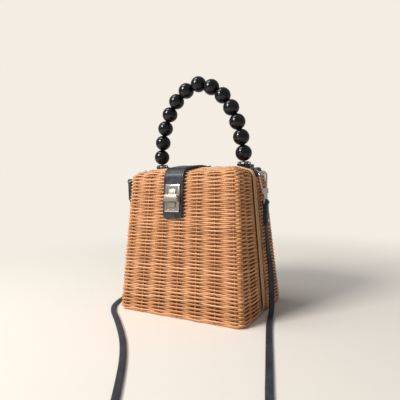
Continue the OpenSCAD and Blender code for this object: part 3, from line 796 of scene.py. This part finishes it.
# %% Rim hoops
HOOP_FOOT = [(W_BASE - 12, 1.5), (W_BASE - 4.5, 1.9), (W_BASE - 1.0, 4.5)]
HOOP_LOW, LEVEL_POINTS = 1.5, 22
HOOP_R, HOOP_IN, HOOP_Y, HOOP_TONE = 0.9, 0.5, 2.05, 0.75
BINDER_R, INNER_SHARE = 1.2, 0.5
# The binders' low tones pick the darkest stops of the painted-shade cane: painted shade in the gaps
# beside the hoops.
BINDERS, BINDER_SHADE_TONES = [(2.9, 4.2), (1.8, 0.65)], [0.3, 0.2]


def level_points(start, end, height):
    """Points on a level line between two places, without its ends."""
    x = np.linspace(start, end, LEVEL_POINTS + 2)[1:-1]
    return np.column_stack([x, np.full(LEVEL_POINTS, height)])


def seam_hoop(inset, y):
    """A closed line round the seam plane, following the half's own side, shoulder and top."""
    up = np.array(HOOP_FOOT + [(w, z) for w, d, z, t in LEVELS[4:]] + [SEAM_TOP])
    step = np.gradient(up, axis=0)
    step /= np.linalg.norm(step, axis=1)[:, None]
    up = up + inset * np.column_stack([-step[:, 1], step[:, 0]])
    up[:, 1] = np.maximum(up[:, 1], HOOP_LOW)
    over = level_points(up[-1, 0], -up[-1, 0], up[-1, 1])
    under = level_points(-up[0, 0], up[0, 0], up[0, 1])
    loop = np.vstack([up, over, up[::-1] * [-1, 1], under])
    return np.column_stack([loop[:, 0], np.full(len(loop), y), loop[:, 1]])


for half, side in (("front", -1), ("back", 1)):
    hoop_line = seam_hoop(HOOP_IN, side * HOOP_Y)
    even = np.ones(len(hoop_line))
    mesh = round_canes(half + "_hoop", [hoop_line], HOOP_R, [even], [HOOP_TONE], cyclic=True)
    hoop = add_piece(half + "_hoop", mesh, RIM_CANE, half)
    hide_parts(half + "_rim")
    lines = [seam_hoop(inset, side * y) for inset, y in BINDERS]
    widths = [even, INNER_SHARE * even]
    mesh = round_canes(half + "_shaded_binders", lines, BINDER_R, widths, BINDER_SHADE_TONES, cyclic=True)
    add_piece(half + "_shaded_binders", mesh, SHADE_PAINTED_CANE, half)
print("hoop points:", len(hoop_line))

# %% [markdown]
# ## Metals, beads and cord
# The lock plate has a pale champagne colour and is brushed along its height; its boss and toggle are
# satin, and the hooks are polished nickel with faint smudges. The beads are lacquered wood, nearly
# black, smooth enough to show the lamp as a small window. Noise in the roughness is what keeps each of
# them from looking like plastic.

# %% Metal, bead and cord materials


def metal_material(name, colour, roughness, stretch, depth):
    """Plated metal: fine brush marks, or smudges where stretch is the same along all axes."""
    material, tree, shader = principled(name, Metallic=1.0)
    shader.inputs["Base Color"].default_value = (*colour, 1)
    spot = node_of(tree, "ShaderNodeTexCoord")
    drawn = node_of(tree, "ShaderNodeMapping")
    drawn.inputs["Scale"].default_value = stretch
    marks = node_of(tree, "ShaderNodeTexNoise", Scale=1.0, Detail=4.0, Roughness=0.6)
    tree.links.new(spot.outputs["Object"], drawn.inputs["Vector"])
    tree.links.new(drawn.outputs["Vector"], marks.inputs["Vector"])
    dull_by(tree, marks.outputs["Fac"], shader, roughness * 0.7, roughness * 1.4)
    press_by(tree, marks.outputs["Fac"], shader, depth, 0.00005)
    return material


def bead_material():
    """Black lacquer with a faint haze."""
    material, tree, shader = principled("black_lacquer")
    shader.inputs["Specular IOR Level"].default_value = 0.38
    spot = node_of(tree, "ShaderNodeTexCoord")
    haze = node_of(tree, "ShaderNodeTexNoise", Scale=260.0, Detail=3.0)
    tree.links.new(spot.outputs["Object"], haze.inputs["Vector"])
    stops = [(0.3, (0.002, 0.002, 0.004)), (0.8, (0.006, 0.006, 0.009))]
    tint_by(tree, haze.outputs["Fac"], shader, stops)
    dull_by(tree, haze.outputs["Fac"], shader, 0.07, 0.13)
    return material


def cord_material():
    """Black braid, with its strands pressed in by bump."""
    material, tree, shader = principled("braided_cord", Roughness=0.85)
    spot = node_of(tree, "ShaderNodeTexCoord")
    braid = node_of(tree, "ShaderNodeTexWave", wave_type="BANDS", bands_direction="DIAGONAL",
                    Scale=420.0, Distortion=2.0)
    tree.links.new(spot.outputs["Object"], braid.inputs["Vector"])
    stops = [(0.2, (0.008, 0.008, 0.009)), (0.8, (0.035, 0.035, 0.038))]
    tint_by(tree, braid.outputs["Fac"], shader, stops)
    press_by(tree, braid.outputs["Fac"], shader, 0.6, 0.0003)
    return material


CHAMPAGNE = metal_material("champagne_plate", (0.62, 0.575, 0.51), 0.19, (1400, 1400, 60), 0.02)
SATIN = metal_material("satin_plate", (0.34, 0.31, 0.27), 0.40, (900, 900, 900), 0.01)
DARK_PLATE = metal_material("dark_plate", (0.20, 0.18, 0.15), 0.30, (300, 300, 300), 0.04)
NICKEL = metal_material("polished_nickel", (0.70, 0.69, 0.67), 0.14, (220, 220, 220), 0.04)
BEAD, CORD = bead_material(), cord_material()
print("finishes:", [m.name for m in (CHAMPAGNE, SATIN, DARK_PLATE, NICKEL, BEAD, CORD)])

# %% [markdown]
# The beads, the cord, the hooks, the rings and the pins keep their CAD shapes and only take a finish.

# %% Parts that keep their shapes


def dress(names, material):
    """Gives CAD nodes that stay as they are a better material."""
    for name in names:
        for holder in frame["nodes"][name].material_slots:
            holder.material = material


sides = ("left", "right")
beads = [n for n in frame["nodes"] if n.startswith("bead_")]
dress(beads, BEAD)
dress(["handle_cord"], CORD)
dress([f"{s}_{n}" for s in sides for n in ("hook", "gate", "hook_eye", "strap_ring")], NICKEL)
# The handle eyes and the pins take a darker plate.
dress([f"{s}_{n}" for s in sides for n in ("handle_eye", "handle_pin")], DARK_PLATE)
print("beads:", len(beads))

# %% [markdown]
# ## Small leather and metal parts
# A CAD edge is perfectly sharp, and nothing on a real bag is. These small parts take a copy of their
# CAD mesh, merge it into one skin, clear the flat faces of spare edges and round every sharp edge with
# a bevel, so that each edge catches a line of light.

# %% Small parts with rounded edges
WELD, FLAT = 2e-6, math.radians(1.0)
LEATHER_EDGES = {"handle_tab": 0.45, "strap_tab": 0.40, "strap_end": 0.45}
RIVET_EDGE, BOSS_EDGE = 0.30, 0.35


def to_mesh(bm, name, sharp=40):
    """Turns a bmesh into a mesh that is smooth but for its sharp edges."""
    mesh = bpy.data.meshes.new(name)
    bm.to_mesh(mesh)
    bm.free()
    mesh.polygons.foreach_set("use_smooth", np.ones(len(mesh.polygons), bool))
    mesh.set_sharp_from_angle(angle=math.radians(sharp))
    return mesh


def round_edges(bm, width, segments=2, sharp=40):
    """Bevels every edge that is sharper than an angle."""
    edges = [e for e in bm.edges if e.is_manifold and e.calc_face_angle() > math.radians(sharp)]
    bmesh.ops.bevel(bm, geom=edges, offset=width, offset_type="OFFSET", affect="EDGES",
                    segments=segments, profile=0.5, clamp_overlap=True, material=-1)


def softened(node, width, material):
    """A copy of a CAD node with rounded edges, which stands for it."""
    bm = bmesh.new()
    bm.from_mesh(frame["nodes"][node].data)
    bmesh.ops.remove_doubles(bm, verts=bm.verts, dist=WELD)
    bmesh.ops.dissolve_limit(bm, angle_limit=FLAT, verts=bm.verts, edges=bm.edges)
    round_edges(bm, width)
    piece = add_piece(node + "_soft", to_mesh(bm, node + "_soft"), material, None, smooth=False)
    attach(piece, frame["nodes"][node]["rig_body"])
    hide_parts(node)
    return piece


for side in sides:
    for part, width in LEATHER_EDGES.items():
        softened(f"{side}_{part}", width * MM, LEATHER)
for group in ("flap_rivets", "tab_rivets", "strap_rivets"):
    softened(group, RIVET_EDGE * MM, CHAMPAGNE)
softened("lock_base", BOSS_EDGE * MM, SATIN)

# %% [markdown]
# ## Flap
# One strip of leather is riveted to the back of the lid, comes forward over the seam, bends down over
# the front shoulder and ends in a rounded tip with the lock plate. It is a sheet of rows across the
# strip, one after the other along the bag's side view; the window for the lock is cut out, and then
# the sheet gets its thickness and its rounded edge. The edge is lighter than the leather: partly edge
# paint, and partly a painted sheen.

# %% Flap
LEAN = math.atan((D_BASE - D_TOP) / (WALL_TOP - FOOT))
LOCK_Z, FLAP_X, FLAP_HALF, FLAP_THICK, FLAP_OFF = 125.5, -7.0, 12.0, 1.8, 1.0
FACE_Y = SEAM_Y + D_BASE + (D_TOP - D_BASE) * (LOCK_Z - FOOT) / (WALL_TOP - FOOT)
FACE_TOP, FLAP_TIP, TIP_ROUND = 20.5, -21.5, 4.5
WINDOW = (4.8, 10.3)
BEND_R, BEND_LIFT, FLAP_EDGE = 10, 0.6, 0.5
NO_TIP, NO_SHARP_EDGE = 99.0, 180


def face_point(up, off):
    """Side view of the lock's plane: a place up its face and off it, as (y, z) in millimetres."""
    return (-FACE_Y + up * math.sin(LEAN) - off * math.cos(LEAN),
            LOCK_Z + up * math.cos(LEAN) + off * math.sin(LEAN))


roof_y = SEAM_Y + D_TOP - SHOULDER
over_top = [(roof_y + 4, 155.6), (0.69 * roof_y, 157.7), (0.28 * roof_y, 158.8), (0, 159.1),
            (-0.41 * roof_y, 158.5), (-0.83 * roof_y, 157.4)]
for turn in np.radians(np.arange(0, 76, 15)):
    over_top.append((-roof_y - BEND_R * math.sin(turn), WALL_TOP + BEND_R * math.cos(turn) + BEND_LIFT))
over_top.append(face_point(FACE_TOP, FLAP_OFF))
curved = smooth_line(over_top, 3)
ups = [16, WINDOW[1], 5, 0, -5, -WINDOW[1], -14, -17, -18.2, -19.3, -20.2, -20.9, -21.3, FLAP_TIP]
straight = np.array([face_point(up, FLAP_OFF) for up in ups])
flap_side = np.vstack([curved, straight])
tip_gap = np.concatenate([np.full(len(curved), NO_TIP), np.array(ups) - FLAP_TIP])
flap_cols = np.array([-FLAP_HALF, -11.3, -9.6, -WINDOW[0], 0, WINDOW[0], 9.6, 11.3, FLAP_HALF])


def flap_row(number):
    """One row of points across the flap; the rows near the tip are narrower."""
    gap = min(tip_gap[number], TIP_ROUND)
    half = FLAP_HALF - TIP_ROUND + math.sqrt(max(0.0, TIP_ROUND**2 - (TIP_ROUND - gap) ** 2))
    y, z = flap_side[number]
    return [(FLAP_X + x * half / FLAP_HALF, y, z) for x in flap_cols]


def in_window(face):
    """True for a face of the flap that the lock's window takes out."""
    middle = face.calc_center_median() / MM
    low, high = face_point(-WINDOW[1], 0)[1], face_point(WINDOW[1], 0)[1]
    return abs(middle.x - FLAP_X) < WINDOW[0] and low < middle.z < high and middle.y < 0


flap_bm = laid_sheet([flap_row(number) for number in range(len(flap_side))])
cut = [f for f in flap_bm.faces if in_window(f)]
bmesh.ops.delete(flap_bm, geom=cut, context="FACES")
bmesh.ops.recalc_face_normals(flap_bm, faces=flap_bm.faces)
flap_bm.faces.ensure_lookup_table()
if flap_bm.faces[0].normal.z < 0:
    bmesh.ops.reverse_faces(flap_bm, faces=flap_bm.faces)
flap_mesh = to_mesh(flap_bm, "flap_leather", NO_SHARP_EDGE)
flap = add_piece("flap_leather", flap_mesh, LEATHER, "back")
# Lighter edge material for the rim faces: partly edge paint, and partly a painted sheen along the edge.
EDGE_PAINT_AND_SHEEN = leather_material("edge_paint_and_painted_sheen", (0.030, 0.032, 0.040), (0.055, 0.058, 0.070), 0.30)
flap.data.materials.append(EDGE_PAINT_AND_SHEEN)
thicken(flap, FLAP_THICK, 1.0).material_offset_rim = 1
rounded = flap.modifiers.new("rounded_edge", "BEVEL")
rounded.width = FLAP_EDGE * MM
rounded.segments = 3
rounded.limit_method = "ANGLE"
rounded.angle_limit = math.radians(50)
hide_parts("flap")
print("flap rows:", len(flap_side), "window faces cut:", len(cut))

# %% [markdown]
# A row of dark stitches holds the turned edge of the flap on each side. A stitch is a short, thin
# tube whose ends dip into the leather, so the row is one loop over places along the side view.

# %% Flap stitches
STITCH, STITCH_STEP, STITCH_START, THREAD_R, SEAM_IN = 2.3, 3.2, 3.0, 0.26, 1.9
STITCH_SHAPE = [(0, -0.2), (0.25, 0.12), (0.75, 0.12), (1, -0.2)]
THREAD = leather_material("waxed_thread", (0.010, 0.011, 0.014), (0.030, 0.032, 0.038), 0.6)


def on_flap(far, x, lift):
    """A place on top of the flap: how far along its side view, its x, and its height over it."""
    run = length_along(flap_side)
    slope = np.gradient(flap_side, axis=0)
    slope /= np.linalg.norm(slope, axis=1)[:, None]
    top = flap_side + np.column_stack([slope[:, 1], -slope[:, 0]]) * (FLAP_THICK + lift)
    return (x, np.interp(far, run, top[:, 0]), np.interp(far, run, top[:, 1]))


flap_run = length_along(flap_side)[-1]
stitch_lines = []
for side in (-1, 1):
    x = FLAP_X + side * (FLAP_HALF - SEAM_IN)
    for start in np.arange(STITCH_START, flap_run - TIP_ROUND - STITCH, STITCH_STEP):
        places = [on_flap(start + share * STITCH, x, lift) for share, lift in STITCH_SHAPE]
        stitch_lines.append(np.array(places))
even = [np.ones(len(STITCH_SHAPE))] * len(stitch_lines)
tones = [0.5] * len(stitch_lines)
stitch_mesh = round_canes("flap_stitches", stitch_lines, THREAD_R, even, tones, resolution=1)
add_piece("flap_stitches", stitch_mesh, THREAD, "back")
print("stitches:", len(stitch_lines))

# %% [markdown]
# ## Turn lock
# The plate is a rectangle with a wide, bright bevel and a sunk window; the boss of the lock stands in
# the window, and a flat toggle turns on it. The plate is a cube whose front is bevelled and inset.

# %% Lock plate
PLATE_W, PLATE_H, PLATE_T = 19.0, 30.0, 1.5
PLATE_BEVEL, WELL = 1.2, 0.85
PLATE_FRAME, PLATE_STEP, PLATE_LEDGE = (2.1, 0), (0.35, -0.5), (1.05, 0)
LOCK_SHARP = 25
FLAP_FACE = FLAP_OFF + FLAP_THICK
ON_FACE = Matrix.Translation(Vector((FLAP_X, -FACE_Y, LOCK_Z)) * MM) @ Matrix.Rotation(-LEAN, 4, "X")


def block(size, middle):
    """A box in the lock's plane, in millimetres, as a bmesh in metres."""
    bm = bmesh.new()
    bmesh.ops.create_cube(bm, size=1.0)
    bmesh.ops.scale(bm, vec=Vector(size) * MM, verts=bm.verts)
    bmesh.ops.translate(bm, vec=Vector(middle) * MM, verts=bm.verts)
    return bm


def front_face(bm):
    """The largest of the faces that are furthest to the front."""
    return min(bm.faces, key=lambda f: (f.calc_center_median().y, -f.calc_area()))


plate_bm = block((PLATE_W, PLATE_T, PLATE_H), (0, -FLAP_FACE - PLATE_T / 2, 0))
bmesh.ops.bevel(plate_bm, geom=list(front_face(plate_bm).edges), offset=PLATE_BEVEL * MM,
                offset_type="OFFSET", affect="EDGES", segments=2, profile=0.5, clamp_overlap=True,
                material=-1)
window_face = front_face(plate_bm)
for width, depth in (PLATE_FRAME, PLATE_STEP, PLATE_LEDGE):
    bmesh.ops.inset_region(plate_bm, faces=[window_face], thickness=width * MM, depth=depth * MM)
through = bmesh.ops.extrude_face_region(plate_bm, geom=[window_face])["geom"]
bmesh.ops.translate(plate_bm, vec=(0, WELL * MM, 0), verts=of_kind(through, bmesh.types.BMVert))
bmesh.ops.delete(plate_bm, geom=of_kind(through, bmesh.types.BMFace), context="FACES")
bmesh.ops.transform(plate_bm, matrix=ON_FACE, verts=plate_bm.verts)
plate_mesh = to_mesh(plate_bm, "lock_plate_metal", LOCK_SHARP)
plate = add_piece("lock_plate_metal", plate_mesh, CHAMPAGNE, "back", smooth=False)
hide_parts("lock_plate")
print("plate faces:", len(plate.data.polygons))

# %% [markdown]
# The toggle is a bar whose two ends are rounded off, on a spindle that goes down into the boss.

# %% Toggle
TOGGLE_L, TOGGLE_H, TOGGLE_T, TOGGLE_END = 19.0, 7.2, 2.7, 2.3
TOGGLE_GAP, TOGGLE_EDGE, SPINDLE_R, BOSS_OUT = 0.4, 0.35, 2.0, 0.6
TOGGLE_BACK = FLAP_FACE + PLATE_T + BOSS_OUT + TOGGLE_GAP

toggle_bm = block((TOGGLE_L, TOGGLE_T, TOGGLE_H), (0, -TOGGLE_BACK - TOGGLE_T / 2, 0))
ends = [e for e in front_face(toggle_bm).edges if abs(e.verts[0].co.x - e.verts[1].co.x) < 1e-6]
bmesh.ops.bevel(toggle_bm, geom=ends, offset=TOGGLE_END * MM, offset_type="OFFSET", affect="EDGES",
                segments=6, profile=0.5, clamp_overlap=True, material=-1)
round_edges(toggle_bm, TOGGLE_EDGE * MM)
spindle_y = -(TOGGLE_BACK + FLAP_OFF) / 2 * MM
spindle_at = Matrix.Translation((0, spindle_y, 0)) @ Matrix.Rotation(math.pi / 2, 4, "X")
bmesh.ops.create_cone(toggle_bm, cap_ends=True, segments=32, radius1=SPINDLE_R * MM,
                      radius2=SPINDLE_R * MM, depth=(TOGGLE_BACK - FLAP_OFF) * MM, matrix=spindle_at)
bmesh.ops.transform(toggle_bm, matrix=ON_FACE, verts=toggle_bm.verts)
toggle_mesh = to_mesh(toggle_bm, "lock_toggle_metal", LOCK_SHARP)
toggle = add_piece("lock_toggle_metal", toggle_mesh, SATIN, "toggle", smooth=False)
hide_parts("lock_toggle")
print("toggle faces:", len(toggle.data.polygons))

# %% [markdown]
# ## Hinge strip
# A leather strip under the bottom seam joins the halves. It has to bend when the front half swings
# open, so it is a thin slab with many cuts across its width.

# %% Hinge strip
STRIP_EDGE, STRIP_CUTS = 0.35, (30, 26)
low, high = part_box("hinge_strip")
strip_bm = bmesh.new()
bmesh.ops.create_grid(strip_bm, x_segments=STRIP_CUTS[0], y_segments=STRIP_CUTS[1], size=0.5)
bmesh.ops.scale(strip_bm, vec=(high.x - low.x, high.y - low.y, 1), verts=strip_bm.verts)
bmesh.ops.translate(strip_bm, vec=(0, 0, low.z), verts=strip_bm.verts)
grown = bmesh.ops.extrude_face_region(strip_bm, geom=strip_bm.faces[:])["geom"]
top = of_kind(grown, bmesh.types.BMVert)
bmesh.ops.translate(strip_bm, vec=(0, 0, high.z - low.z), verts=top)
bmesh.ops.recalc_face_normals(strip_bm, faces=strip_bm.faces)
round_edges(strip_bm, STRIP_EDGE * MM)
strip_mesh = to_mesh(strip_bm, "hinge_strip_leather")
strip = add_piece("hinge_strip_leather", strip_mesh, LEATHER, None, smooth=False)
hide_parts("hinge_strip")
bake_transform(strip)
print("hinge strip faces:", len(strip.data.polygons))
